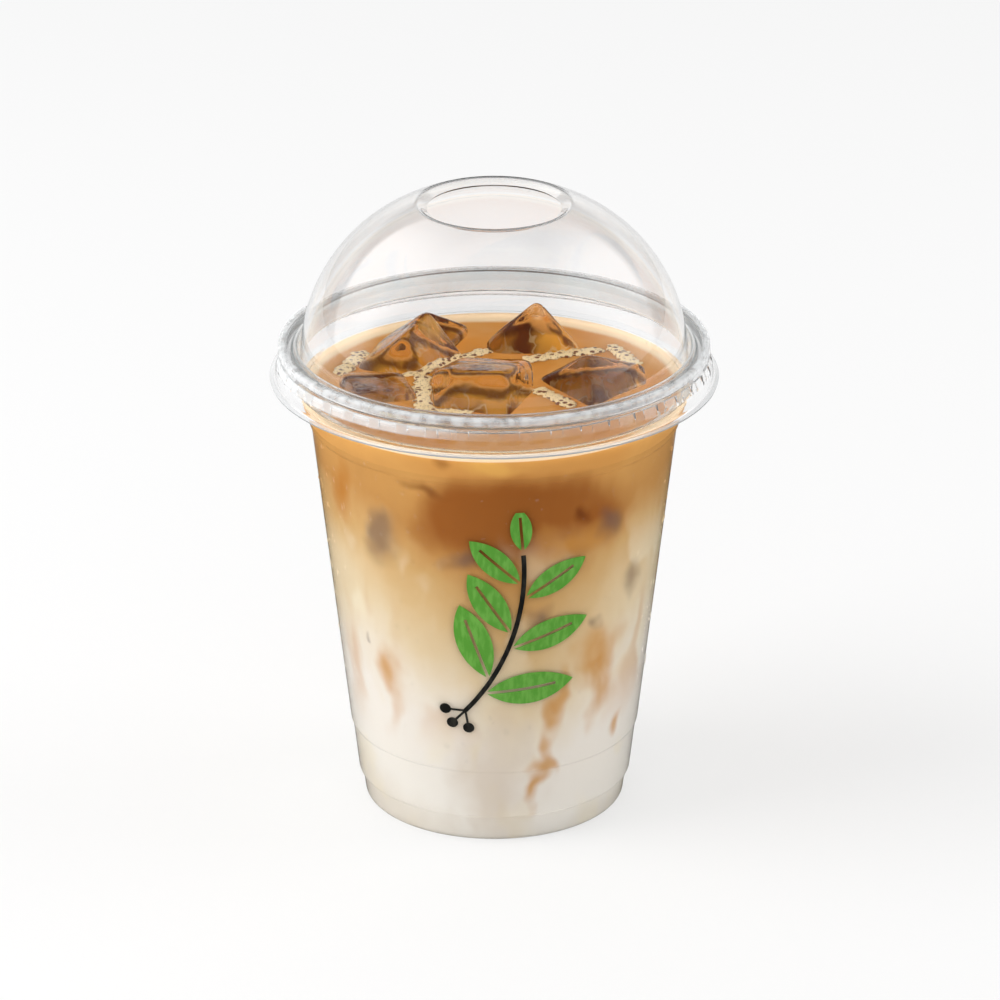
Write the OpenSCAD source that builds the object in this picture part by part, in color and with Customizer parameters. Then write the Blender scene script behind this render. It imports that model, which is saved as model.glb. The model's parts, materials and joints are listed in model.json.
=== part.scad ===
// Clear drinking cup with a domed lid, filled with an iced milk drink.
// Millimetres, +Z up. The origin is on the table, under the middle of the foot.

/* [Cup] */
// Height of the cup, from the table to the top of its rolled rim
cup_h = 112.8; // [106:0.2:118]
// Radius inside the mouth, beside the rolled rim
mouth_r = 46.35; // [44.5:0.05:48]
// Radius outside the foot, where the wall would meet the table
foot_r = 30.6; // [28.5:0.1:32.5]
// Thickness of the formed cup sheet
cup_wall = 0.45; // [0.35:0.05:0.55]
// Outer radius of the rolled rim's section
rim_roll_r = 1.2; // [1.1:0.05:1.4]
// How far round the rim is rolled, in degrees
rim_roll_deg = 255; // [200:5:270]
// Radius of the edge between the foot and the wall
foot_edge_r = 1; // [0.8:0.1:1.5]
// Width of the ring that the cup stands on
stand_w = 3; // [2:0.1:4]
// Height of the push-up in the middle of the base
push_up = 4; // [2.5:0.1:5]
// Width of the slope between the push-up and the standing ring
push_up_slope = 3; // [2.5:0.1:5]

/* [Cup ledges] */
// Height of one ledge, from its lower to its upper crease
ledge_h = 0.6; // [0.4:0.1:0.8]
// Height of the foot band
foot_band_z = 6; // [5:0.2:8]
// Width of the ledge on top of the foot band
foot_ledge = 0.75; // [0.4:0.05:1]
// Height of the low band's top
low_band_z = 18.6; // [16:0.2:21]
// Width of the ledge on top of the low band
low_ledge = 0.35; // [0.2:0.05:0.6]
// Distance from the rim's top down to the ledge above the body
top_ledge_drop = 18.6; // [16:0.2:20]
// Width of the ledge above the body
top_ledge = 0.45; // [0.3:0.05:0.7]
// Distance from the rim's top down to the stacking ledge
stack_drop = 9.4; // [8.6:0.2:10.5]
// Width of the stacking ledge
stack_ledge = 1.9; // [1.4:0.1:2.2]

/* [Lid] */
// Thickness of the formed lid sheet
lid_wall = 0.45; // [0.35:0.05:0.5]
// Gap over the rolled rim, under the lid's bead
bead_gap = 0.2; // [0.15:0.05:0.4]
// Gap between the lid's plug and the mouth of the cup
plug_gap = 0.12; // [0.1:0.02:0.3]
// How deep the plug reaches below the bead's top
plug_depth = 4.6; // [4:0.1:5.4]
// Width of the valley between the dome and the plug
valley_w = 0.6; // [0.5:0.05:1]
// Radius of the bead's two edges
bead_edge_r = 1; // [0.7:0.1:1.2]
// Width of the bead outside the rolled rim
bead_side = 1.08; // [0.95:0.01:1.3]
// Distance from the bead's top down to its lower crease
bead_h = 2.6; // [2.4:0.1:3]

/* [Dome] */
// Radius of the dome's side, in section
dome_side_r = 40; // [38.5:0.1:41]
// Width of the crown, between the dome's side and the lip round the hole
crown_w = 4.02; // [3:0.02:5]
// Radius of the hole for the straw and spoon
hole_r = 15.45; // [10:0.05:17]
// Width of the turned-in lip round the hole
lip_w = 2.25; // [1.5:0.05:3]
// How far the lip dips below the crest
lip_dip = 1.45; // [0.8:0.05:2]

/* [Skirt] */
// Height of the skirt below the bead's lower crease
skirt_h = 5.2; // [4.6:0.1:6]
// How far the skirt flares over its height
skirt_flare = 0.95; // [0.6:0.05:1.2]
// Width of the flange at the skirt's foot
flange_w = 1.1; // [0.8:0.1:1.6]
// How far the flange slopes down over its width
flange_drop = 0.35; // [0.2:0.05:0.5]
// Number of lugs round the skirt
lug_count = 44; // [30:1:48]
// Width of one lug's pocket
lug_w = 4.5; // [3.5:0.1:4.6]
// Height of one lug's pocket
lug_h = 2.35; // [1.8:0.05:2.8]
// Clearance between the lugs and the rolled rim
lug_gap = 0.15; // [0.12:0.01:0.25]

/* [Drink] */
// Distance from the rim's top down to the drink
fill_drop = 11.1; // [10.6:0.1:14]
// Gap left between the drink and the cup or the ice
fill_gap = 0.1; // [0.06:0.02:0.2]
// Thickness of the froth on the drink
froth_t = 0.7; // [0.4:0.1:1.2]
// Radius of one lobe of the froth
froth_r = 2; // [1.4:0.1:2.4]

/* [Ice] */
// Large ice blocks that would lie side by side across the drink's surface
blocks_across = 4.8; // [4.7:0.1:6]
// Side of a small, more melted block, for a large one of 1
small_block = 0.777; // [0.6:0.001:0.8]
// How far an ice block's long edges have melted back
ice_edge_melt = 1.3; // [0.8:0.1:2]
// How far its corners have melted back
ice_corner_melt = 2.4; // [2:0.1:3.2]

/* [Print] */
// Distance from the low ledge up to the foot of the printed stem
print_low = 15.3; // [12:0.1:20]
// Distance from the ledge above the body down to the tip of the stem
print_high = 16.7; // [13:0.1:22]
// Thickness of the ink
ink_t = 0.08; // [0.06:0.01:0.12]
// Gap between the ink and the wall
ink_gap = 0.03; // [0.02:0.01:0.06]
// Radius of the stem's curve
stem_r = 56; // [48:1:70]
// Width of the stem's line
stem_w = 1.1; // [0.8:0.1:1.6]
// Lean of the sprig, in degrees
sprig_lean = 18; // [0:1:25]
// Number of leaf pairs on the stem
leaf_pairs = 3; // [2:1:3]
// Length of the lowest leaves
leaf_l = 20; // [15:0.5:21]
// Width of the lowest leaves
leaf_w = 8; // [6:0.2:8.4]
// Angle between a leaf and the stem, in degrees
leaf_splay = 50; // [40:1:60]
// Width of the bare line along the middle of a leaf
rib_w = 0.7; // [0.5:0.1:1]
// Radius of one berry
berry_r = 1.3; // [1:0.1:1.6]
// Length of a berry's stalk
stalk_l = 4.6; // [3.6:0.2:6]

/* [Hidden] */
SURFACE_ICE = ["ice_left", "ice_back_left", "ice_back_right", "ice_middle", "ice_right",
               "ice_front_left", "ice_front"];
SUNK_ICE = ["ice_sunk_left", "ice_sunk_middle", "ice_sunk_right", "ice_sunk_far_right",
            "ice_sunk_low"];
$fn = 96;

// The wall leans evenly between the ledges, from the foot to the mouth.
rim_z = cup_h - rim_roll_r;
draft = (mouth_r + cup_wall - foot_r - foot_ledge - low_ledge - top_ledge - stack_ledge) / rim_z;
LEDGES = [[foot_band_z, foot_ledge], [low_band_z, low_ledge],
          [cup_h - top_ledge_drop, top_ledge], [cup_h - stack_drop, stack_ledge]];

// Radius outside the wall at height z, above the first n ledges.
function ledge_sum(n) = n == 0 ? 0 : LEDGES[n - 1][1] + ledge_sum(n - 1);
function wall_r(z, n) = foot_r + draft * z + ledge_sum(n);

// Points on an arc round c, from angle a to angle b. A first of 1 leaves the start out.
function arc(c, r, a, b, steps, first = 0) =
    [for (i = [first:steps]) c + r * [cos(a + (b - a) * i / steps), sin(a + (b - a) * i / steps)]];
// A path moved sideways by t, to the left of the way it runs, with mitred corners.
function unit(v) = v / norm(v);
function left(v) = [-v[1], v[0]];
function run_in(p, i) = unit(i == 0 ? p[1] - p[0] : p[i] - p[i - 1]);
function run_out(p, i) = unit(i == len(p) - 1 ? p[i] - p[i - 1] : p[i + 1] - p[i]);
function beside(p, t) =
    [for (i = [0:len(p) - 1])
        let (a = run_in(p, i), b = run_out(p, i)) p[i] + left(a + b) * t / (1 + a * b)];
function reversed(p) = [for (i = [len(p) - 1:-1:0]) p[i]];

// The cup's outside, from the middle of its base to the start of the rolled rim.
stand_out_r = foot_r - foot_edge_r;
lean = atan(draft);
base_path = [[0, push_up], [stand_out_r - stand_w - push_up_slope, push_up],
             [stand_out_r - stand_w, 0]];
foot_path = arc([stand_out_r, foot_edge_r], foot_edge_r, -90, -lean, 5);
ledge_path = [for (i = [0:len(LEDGES) - 1]) for (up = [0, 1])
                 [wall_r(LEDGES[i][0] + up * ledge_h, i + up), LEDGES[i][0] + up * ledge_h]];
cup_path = concat(base_path, foot_path, ledge_path);
roll_c = [mouth_r + rim_roll_r, rim_z];
roll_path = arc(roll_c, rim_roll_r - cup_wall, 180 - lean, 180 - lean - rim_roll_deg, 16);
rim_out_r = mouth_r + 2 * rim_roll_r;

// The lid's outside, from the hole over the dome, the valley and the bead to the flange.
bead_top = cup_h + bead_gap + lid_wall;
valley_z = bead_top - plug_depth;
plug_r = mouth_r - draft * (rim_z - valley_z + lid_wall) - plug_gap;
dome_r = plug_r - lid_wall - valley_w;
valley_c = [dome_r + valley_w / 2, valley_z + valley_w / 2];
side_c = [dome_r - dome_side_r, valley_c[1]];
crest_r = hole_r + lip_w;
dome_side_deg = acos((crest_r + crown_w - side_c[0]) / dome_side_r);
crown_r = dome_side_r + side_c[0] / cos(dome_side_deg);
crown_c = [0, side_c[1] - side_c[0] * tan(dome_side_deg)];
crest_deg = acos(crest_r / crown_r);
crest = crown_c + crown_r * [cos(crest_deg), sin(crest_deg)];
bead_out_r = rim_out_r + bead_side;
crease_z = bead_top - bead_h;
skirt_foot = [bead_out_r + skirt_flare, crease_z - skirt_h];
lid_path = concat(
    [[hole_r, crest[1] - lip_dip]],
    arc(crown_c, crown_r, crest_deg, dome_side_deg, 12),
    arc(side_c, dome_side_r, dome_side_deg, 0, 20, 1),
    arc(valley_c, valley_w / 2, 180, 360, 8, 1),
    arc([dome_r + valley_w + bead_edge_r, bead_top - bead_edge_r], bead_edge_r, 180, 90, 6),
    arc([bead_out_r - bead_edge_r, bead_top - bead_edge_r], bead_edge_r, 90, 0, 6),
    [[bead_out_r, crease_z], skirt_foot, skirt_foot + [flange_w, -flange_drop]]);

// A thin formed sheet: a path and its copy beside it, turned round the axis.
module sheet(path, t) {
    rotate_extrude() polygon(concat(path, reversed(beside(path, t))));
}

module cup() {
    color([0.86, 0.93, 0.96, 0.4]) sheet(concat(cup_path, roll_path), cup_wall);
}

// One lug of the lid: a ramp pressed in under the bead, open to the outside as a pocket.
lug_r = rim_out_r + lug_gap;
lug_top = crease_z - lid_wall / 2;
lug_foot = lug_top - lug_h;
function skirt_r(z) = bead_out_r + skirt_flare * (crease_z - z) / skirt_h;
module lug_sector(width, outline) {
    span = width / skirt_r(lug_foot) * 180 / PI;
    rotate([0, 0, -span / 2]) rotate_extrude(angle = span) polygon(outline);
}
module lugs(width, outline) {
    for (i = [0:lug_count - 1]) rotate([0, 0, (i + 0.5) * 360 / lug_count])
        lug_sector(width, outline);
}
module lid() {
    seat = lid_wall / 3;
    color([0.9, 0.95, 0.97, 0.4]) difference() {
        union() {
            sheet(lid_path, -lid_wall);
            lugs(lug_w + 2 * lid_wall, [
                [skirt_r(crease_z) - seat, lug_top + lid_wall], [lug_r, lug_top + lid_wall / 2],
                [lug_r, lug_top - lid_wall / 2], [skirt_r(lug_foot) - lid_wall, lug_foot - lid_wall],
                [skirt_r(lug_foot) - seat, lug_foot - lid_wall]]);
        }
        lugs(lug_w, [[lug_r + lid_wall, lug_top], [skirt_r(lug_foot), lug_foot],
                     [skirt_r(lug_foot) + lid_wall, lug_foot], [skirt_r(lug_foot) + lid_wall, lug_top]]);
    }
}

// The ice: bearing from +X in degrees, inset of the block's middle from the wall and its rise above
// the drink's surface, both in sides of a large block, then its side and its turn about X, Y and Z.
fill_z = cup_h - fill_drop;
fill_r = wall_r(fill_z, 3) - cup_wall - fill_gap;
ice_side = 2 * fill_r / blocks_across;
ice_small = small_block * ice_side;
SURFACE_PLACES = [
    [141, 1.03, -0.06, 0.97 * ice_side, [8, 51, -15]],
    [115, 0.523, -0.15, 0.92 * ice_small, [6, 11, -22]],
    [72, 0.736, -0.196, 0.97 * ice_side, [-51, 36, -36]],
    [250, 2, -0.1, 1.1 * ice_side, [-10, -6, -20]],
    [360, 1.1, -0.32, 1.12 * ice_side, [-25, -35, -41]],
    [186, 0.877, -0.31, 0.91 * ice_side, [-1, 5, 15]],
    [271, 0.644, -0.533, 0.89 * ice_side, [4, 3, 4]]];
SUNK_PLACES = [
    [-132, 0.055, -1.5, ice_small, [20, 30, 30]],
    [-98, 0.055, -2, ice_small, [40, 20, 10]],
    [-55, 0.055, -1.222, ice_small, [30, 15, 50]],
    [-33, 0.055, -2.111, ice_small, [20, 40, 30]],
    [-71, 0.055, -2.722, ice_small, [35, 30, 20]]];
function polar(r, deg, z) = [r * cos(deg), r * sin(deg), z];
// A sunk block lies against the wall of the body, by its own reach and its inset.
function ice_reach(side) = side * sqrt(3) / 2 - ice_corner_melt;
function at_surface(deg, inset, rise) =
    polar(fill_r - inset * ice_side, deg, fill_z + rise * ice_side);
function surface_spot(p) = at_surface(p[0], p[1], p[2]);
function body_r(z) = wall_r(z, 2) - cup_wall - fill_gap;
function sunk_spot(p) = let (z = fill_z + p[2] * ice_side)
    polar(body_r(z - ice_reach(p[3])) - ice_reach(p[3]) - p[1] * ice_side, p[0], z);

// A melted block: a cube with its long edges cut back and its corners rounded off.
module melted_block(side, grow) {
    s = side + 2 * grow;
    flat = 2 * (side / sqrt(2) - ice_edge_melt + grow);
    intersection() {
        cube(s, center = true);
        rotate([45, 0, 0]) cube([s, flat, flat], center = true);
        rotate([0, 45, 0]) cube([flat, s, flat], center = true);
        rotate([0, 0, 45]) cube([flat, flat, s], center = true);
        sphere(r = ice_reach(side) + grow);
    }
}
module block_at(spot, place, grow) {
    translate(spot) rotate(place[4]) melted_block(place[3], grow);
}
module surface_ice(i, grow = 0) {
    block_at(surface_spot(SURFACE_PLACES[i]), SURFACE_PLACES[i], grow);
}
module sunk_ice(i, grow = 0) {
    block_at(sunk_spot(SUNK_PLACES[i]), SUNK_PLACES[i], grow);
}
module all_surface_ice(grow) {
    for (i = [0:len(SURFACE_ICE) - 1]) surface_ice(i, grow);
}
module all_sunk_ice(grow) {
    for (i = [0:len(SUNK_ICE) - 1]) sunk_ice(i, grow);
}
module ice_colour() {
    color([0.75, 0.5, 0.3, 0.6]) children();
}

// The drink fills the cup's inside up to its surface, round the ice.
module drink() {
    inside = beside(concat(cup_path, [[wall_r(rim_z, 4), rim_z]]), cup_wall + fill_gap);
    color([0.85, 0.68, 0.5]) difference() {
        intersection() {
            rotate_extrude() polygon(concat(inside, [[0, rim_z]]));
            cylinder(r = mouth_r, h = fill_z);
        }
        all_surface_ice(fill_gap);
        all_sunk_ice(fill_gap);
    }
}

// Froth lies on the drink in strands of small lobes, in the gaps between the blocks. Each end of
// a strand has its bearing and its inset from the wall, as the ice has.
FROTH = [[[159, 1.23], [97, 1.17]], [[162, 1.42], [222, 1.21]], [[225, 1.2], [248, 1.43]],
         [[64, 1.33], [44, 0.58]], [[346, 1.78], [327, 1.28]], [[147, 0.32], [166, 0.35]],
         [[24, 0.42], [41, 0.32]]];
function froth_end(e) = let (p = at_surface(e[0], e[1], 0)) [p[0], p[1]];
module froth_strand(p, q) {
    steps = ceil(norm(q - p) / (1.3 * froth_r));
    for (i = [0:steps]) translate(p + (q - p) * i / steps)
        circle(r = froth_r * (i % 2 == 0 ? 1 : 0.8), $fn = 32);
}
module froth() {
    color([0.93, 0.8, 0.6]) difference() {
        translate([0, 0, fill_z]) linear_extrude(froth_t)
            for (strand = FROTH) froth_strand(froth_end(strand[0]), froth_end(strand[1]));
        all_surface_ice(fill_gap);
    }
}

// The print: a leafy sprig, drawn flat and laid on the wall of the body, between its ledges.
stem_foot_z = low_band_z + ledge_h + print_low;
stem_h = cup_h - top_ledge_drop - print_high - stem_foot_z;
print_z = stem_foot_z + stem_h / 2;
module on_wall(h) {
    low = print_z - h / 2;
    high = print_z + h / 2;
    rough = ink_gap / cos(lean);
    skin = [[wall_r(low, 2) + rough, low], [wall_r(low, 2) + rough + ink_t, low],
            [wall_r(high, 2) + rough + ink_t, high], [wall_r(high, 2) + rough, high]];
    intersection() {
        rotate_extrude() polygon(skin);
        translate([0, 0, print_z]) rotate([90, 0, 0]) linear_extrude(mouth_r)
            rotate([0, 0, -sprig_lean]) children();
    }
}
print_room = stem_h + leaf_l;
// Place and heading at a share of the stem's length, from its foot at 0 to its tip at 1.
stem_half = asin(stem_h / 2 / stem_r);
module on_stem(share) {
    a = stem_half * (2 * share - 1);
    translate([-stem_r * cos(stem_half), 0]) rotate([0, 0, a]) translate([stem_r, 0])
        rotate([0, 0, 90]) children();
}
// A leaf along +X, pointed at both ends, with a bare line along its middle.
module leaf(l, w) {
    r = (l * l + w * w) / (4 * w);
    difference() {
        intersection_for(side = [-1, 1]) translate([l / 2, side * (r - w / 2)]) circle(r = r);
        translate([0, -rib_w / 2]) square([l * 0.8, rib_w]);
    }
}
module print_leaves() {
    color([0.36, 0.66, 0.2]) on_wall(print_room) {
        for (i = [0:leaf_pairs - 1]) for (side = [-1, 1])
            on_stem((i + 0.6 + side * 0.14) / (leaf_pairs + 0.35)) rotate([0, 0, side * leaf_splay])
                translate([stem_w, 0]) leaf(leaf_l * (1 - 0.1 * i), leaf_w * (1 - 0.1 * i));
        on_stem(1) translate([stem_w, 0]) leaf(leaf_l * 0.55, leaf_w * 0.62);
    }
}
module print_stem() {
    color([0.12, 0.12, 0.1]) on_wall(print_room) {
        translate([-stem_r * cos(stem_half), 0]) rotate([0, 0, -stem_half]) difference() {
            intersection() {
                circle(r = stem_r + stem_w / 2);
                polygon([[0, 0], [2 * stem_r, 0], 2 * stem_r * [1, tan(stem_half)],
                         2 * stem_r * [cos(2 * stem_half), sin(2 * stem_half)]]);
            }
            circle(r = stem_r - stem_w / 2);
        }
        for (turn = [-1:1]) on_stem(0) rotate([0, 0, turn * leaf_splay]) {
            translate([-stalk_l, -stem_w / 4]) square([stalk_l, stem_w / 2]);
            translate([-stalk_l, 0]) circle(r = berry_r, $fn = 48);
        }
    }
}

cup();
lid();
drink();
froth();
print_leaves();
print_stem();
for (i = [0:len(SURFACE_ICE) - 1])
    ice_colour() surface_ice(i);
for (i = [0:len(SUNK_ICE) - 1])
    ice_colour() sunk_ice(i);
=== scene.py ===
"""Looks of a clear cold-drink cup with a domed lid, filled with iced milk coffee.

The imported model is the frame. Each part of the real object is a class that works out its surfaces
with numpy in millimetres and puts them into the frame in metres, without moving or fitting.
"""
import json
import logging
import math
from dataclasses import dataclass
from enum import Enum

import bmesh
import bpy
import numpy as np
from mathutils import Euler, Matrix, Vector

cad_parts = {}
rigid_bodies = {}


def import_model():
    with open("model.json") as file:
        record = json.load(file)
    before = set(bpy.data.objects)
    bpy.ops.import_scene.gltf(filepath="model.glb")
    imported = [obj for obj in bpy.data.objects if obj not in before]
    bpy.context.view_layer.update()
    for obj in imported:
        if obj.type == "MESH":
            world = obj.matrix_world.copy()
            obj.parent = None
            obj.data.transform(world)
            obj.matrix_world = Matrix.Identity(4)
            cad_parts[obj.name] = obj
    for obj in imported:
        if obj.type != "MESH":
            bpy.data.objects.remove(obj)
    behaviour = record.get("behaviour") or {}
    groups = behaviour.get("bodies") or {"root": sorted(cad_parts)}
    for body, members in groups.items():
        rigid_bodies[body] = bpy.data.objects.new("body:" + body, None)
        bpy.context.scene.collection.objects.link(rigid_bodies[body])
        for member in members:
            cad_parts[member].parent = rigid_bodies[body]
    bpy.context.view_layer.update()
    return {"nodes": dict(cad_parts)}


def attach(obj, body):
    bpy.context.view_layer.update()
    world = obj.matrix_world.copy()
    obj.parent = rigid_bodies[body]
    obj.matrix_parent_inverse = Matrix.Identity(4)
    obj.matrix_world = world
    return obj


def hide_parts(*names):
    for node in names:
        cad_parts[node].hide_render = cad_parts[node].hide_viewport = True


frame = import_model()
LOG = logging.getLogger("cup")
MM = 0.001
# From the cup's top down to the drink, and from the wall to where the ice is measured from, in mm.
HEADSPACE = 11.1
ICE_GAP = 0.1
# A colour as linear light with alpha, a tone as sRGB numbers, and a point, size or scale.
Colour = tuple[float, float, float, float]
Tone = tuple[int, int, int]
Triple = tuple[float, float, float]
WHITE: Colour = (1.0, 1.0, 1.0, 1.0)


class Body(Enum):
    """The two bodies of the frame."""

    CUP = "cup"
    LID = "lid"


class Slot(Enum):
    """The record's material slots."""

    CUP_PLASTIC = "cup_plastic"
    LID_PLASTIC = "lid_plastic"
    DRINK = "milk_drink"
    FROTH = "froth"
    GREEN_INK = "green_ink"
    BLACK_INK = "black_ink"
    ICE = "ice"


# Shader maths


class Wire:
    """A shader socket that can be written in sums. Each operator adds one Math node."""

    def __init__(self, sheet: "ShaderSheet", socket: bpy.types.NodeSocket) -> None:
        """Wraps a socket of a node on the sheet."""
        self.sheet = sheet
        self.socket = socket

    def _math(self, operation: str, *operands: "Wire | float") -> "Wire":
        """One Math node over the operands."""
        return self.sheet.add("ShaderNodeMath", {"operation": operation}, dict(enumerate(operands)))

    def __add__(self, other: "Wire | float") -> "Wire":
        """Sum."""
        return self._math("ADD", self, other)

    __radd__ = __add__

    def __sub__(self, other: "Wire | float") -> "Wire":
        """Difference."""
        return self._math("SUBTRACT", self, other)

    def __rsub__(self, other: float) -> "Wire":
        """Difference from a number."""
        return self._math("SUBTRACT", other, self)

    def __mul__(self, other: "Wire | float") -> "Wire":
        """Product."""
        return self._math("MULTIPLY", self, other)

    __rmul__ = __mul__

    def __truediv__(self, other: "Wire | float") -> "Wire":
        """Quotient."""
        return self._math("DIVIDE", self, other)

    def __pow__(self, other: "Wire | float") -> "Wire":
        """Power."""
        return self._math("POWER", self, other)

    def size(self) -> "Wire":
        """The value without its sign."""
        return self._math("ABSOLUTE", self)

    def at_least(self, other: "Wire | float") -> "Wire":
        """The larger of two values."""
        return self._math("MAXIMUM", self, other)

    def rise(self, low: float, high: float) -> "Wire":
        """A smooth step: 0 at low and 1 at high, or the other way where low is the larger."""
        return self.sheet.add(
            "ShaderNodeMapRange",
            {"interpolation_type": "SMOOTHSTEP"},
            {"Value": self, "From Min": min(low, high), "From Max": max(low, high),
             "To Min": float(low > high), "To Max": float(low < high)},
        )

    def near(self, middle: "Wire | float", width: float) -> "Wire":
        """A soft hump: 1 at the middle, and 0 from width away."""
        return (self - middle).size().rise(width, 0)


class ShaderSheet:
    """The node tree of one material or of the world."""

    def __init__(self, tree: bpy.types.NodeTree) -> None:
        """Empties the tree."""
        self.tree = tree
        tree.nodes.clear()

    def add(self, kind: str, settings: dict, sockets: dict, output: int | str = 0) -> Wire | None:
        """Adds a node.

        Args:
            kind: the node's type.
            settings: its properties, and under "stops" the stops of its colour ramp.
            sockets: values or wires for its inputs, by name or number.
            output: which output to hand back.

        Returns:
            The output as a wire, or nothing from an output node.
        """
        node = self.tree.nodes.new(kind)
        for name, value in settings.items():
            if name == "stops":
                ramp = node.color_ramp
                while len(ramp.elements) < len(value):
                    ramp.elements.new(1.0)
                for element, (place, colour) in zip(ramp.elements, value):
                    element.position, element.color = place, colour
            else:
                setattr(node, name, value)
        for name, value in sockets.items():
            if isinstance(value, Wire):
                self.tree.links.new(value.socket, node.inputs[name])
            else:
                node.inputs[name].default_value = value
        return Wire(self, node.outputs[output]) if len(node.outputs) else None

    def place(self) -> Wire:
        """The point on the object, in metres."""
        return self.add("ShaderNodeTexCoord", {}, {}, "Object")

    def stretched(self, scale: Triple, shift: tuple = (0, 0, 0),
                  vector: Wire | None = None) -> Wire:
        """The point on the object, or another vector, scaled and then moved."""
        return self.add("ShaderNodeMapping", {}, {"Vector": vector or self.place(), "Scale": scale,
                                                  "Location": shift})

    def swirled(self, scale: float, reach: float) -> Wire:
        """The point on the object, pushed about by noise of that scale, by up to about a third of the
        reach in metres."""
        push = self.add("ShaderNodeTexNoise", {},
                        {"Vector": self.place(), "Scale": scale, "Detail": 2.0}, "Color")
        push = self.add("ShaderNodeVectorMath", {"operation": "SUBTRACT"}, {0: push, 1: (0.5, 0.5, 0.5)})
        return self.add("ShaderNodeVectorMath", {"operation": "MULTIPLY_ADD"},
                        {0: push, 1: (reach, reach, reach), 2: self.place()})

    def axes(self) -> tuple[Wire, Wire, Wire]:
        """X, Y and Z of the point on the object, in millimetres."""
        split = self.add("ShaderNodeSeparateXYZ", {}, {"Vector": self.place()})
        outputs = split.socket.node.outputs
        return tuple(Wire(self, outputs[i]) * 1000.0 for i in range(3))

    def noise(self, scale: float, detail: float = 2.0, vector: Wire | None = None) -> Wire:
        """Cloudy noise about 0.5. The scale is in waves per metre, or per unit of the vector."""
        return self.add("ShaderNodeTexNoise", {},
                        {"Vector": vector or self.place(), "Scale": scale, "Detail": detail}, "Fac")

    def mix(self, share: Wire | float, first: Wire | tuple, second: Wire | tuple) -> Wire:
        """A colour between two colours."""
        return self.add("ShaderNodeMix", {"data_type": "RGBA"}, {0: share, 6: first, 7: second}, 2)

    def ramp(self, share: Wire, stops: list) -> Wire:
        """A colour picked from a ramp."""
        return self.add("ShaderNodeValToRGB", {"stops": stops}, {"Fac": share})

    def bump(self, height: Wire, depth: float) -> Wire:
        """A bumped normal. The height is 0 to 1 and stands for a depth in millimetres."""
        return self.add("ShaderNodeBump", {}, {"Height": height, "Distance": depth * MM}, "Normal")

    def rays(self, *kinds: str) -> list[Wire]:
        """What Light Path says of the ray, for each output asked for."""
        outputs = self.add("ShaderNodeLightPath", {}, {}).socket.node.outputs
        return [Wire(self, outputs[kind]) for kind in kinds]

    def principled(self, sockets: dict, **settings: str) -> Wire:
        """A Principled shader."""
        return self.add("ShaderNodeBsdfPrincipled", settings, sockets)

    def blend(self, share: Wire, first: Wire, second: Wire) -> Wire:
        """A shader between two shaders."""
        return self.add("ShaderNodeMixShader", {}, {0: share, 1: first, 2: second})


def plain(tone: Tone) -> Colour:
    """A colour written as sRGB numbers from 0 to 255, as linear light with an alpha of 1."""
    share = [c / 255 for c in tone]
    return (*[c / 12.92 if c <= 0.04045 else ((c + 0.055) / 1.055) ** 2.4 for c in share], 1.0)


# Finishes


@dataclass(frozen=True)
class Finish:
    """What a piece is dressed in. Each kind says what its surface is."""

    name: str

    def surface(self, sheet: ShaderSheet) -> Wire:
        """The surface's shader, made on the sheet."""
        raise NotImplementedError

    def build(self) -> bpy.types.Material:
        """Makes the material.

        Returns:
            A material that shows the surface.
        """
        material = bpy.data.materials.new(self.name)
        material.use_nodes = True
        sheet = ShaderSheet(material.node_tree)
        sheet.add("ShaderNodeOutputMaterial", {}, {"Surface": self.surface(sheet)})
        return material


@dataclass(frozen=True)
class ClearFinish(Finish):
    """A clear, smooth solid: formed plastic sheet, ice or water."""

    ior: float
    colour: Colour = WHITE
    shade: Colour = WHITE
    wave_scale: float = 60.0
    wave_depth: float = 0.01
    grain_scale: float = 900.0
    grain_share: float = 0.0
    most_bends: int = 6

    def surface(self, sheet: ShaderSheet) -> Wire:
        """Glass whose faint waves come from noise. Light from the lamps passes straight through
        it, so that what it shuts in is lit, and so does a ray that has bent often."""
        height = sheet.noise(self.wave_scale, 1.0)
        if self.grain_share:
            height = height + sheet.noise(self.grain_scale, 1.0) * self.grain_share
        glass = sheet.principled({"Base Color": self.colour, "Roughness": 0.0, "IOR": self.ior,
                                  "Transmission Weight": 1.0,
                                  "Normal": sheet.bump(height, self.wave_depth)})
        see_through = sheet.add("ShaderNodeBsdfTransparent", {}, {"Color": self.shade})
        shadow, diffuse, bends = sheet.rays("Is Shadow Ray", "Is Diffuse Ray", "Ray Depth")
        straight = shadow.at_least(diffuse).at_least(bends.rise(self.most_bends, self.most_bends + 1))
        return sheet.blend(straight, self.dressed(sheet, glass), see_through)

    def dressed(self, sheet: ShaderSheet, glass: Wire) -> Wire:
        """What lies on the glass. Plain glass has nothing on it."""
        return glass


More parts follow.
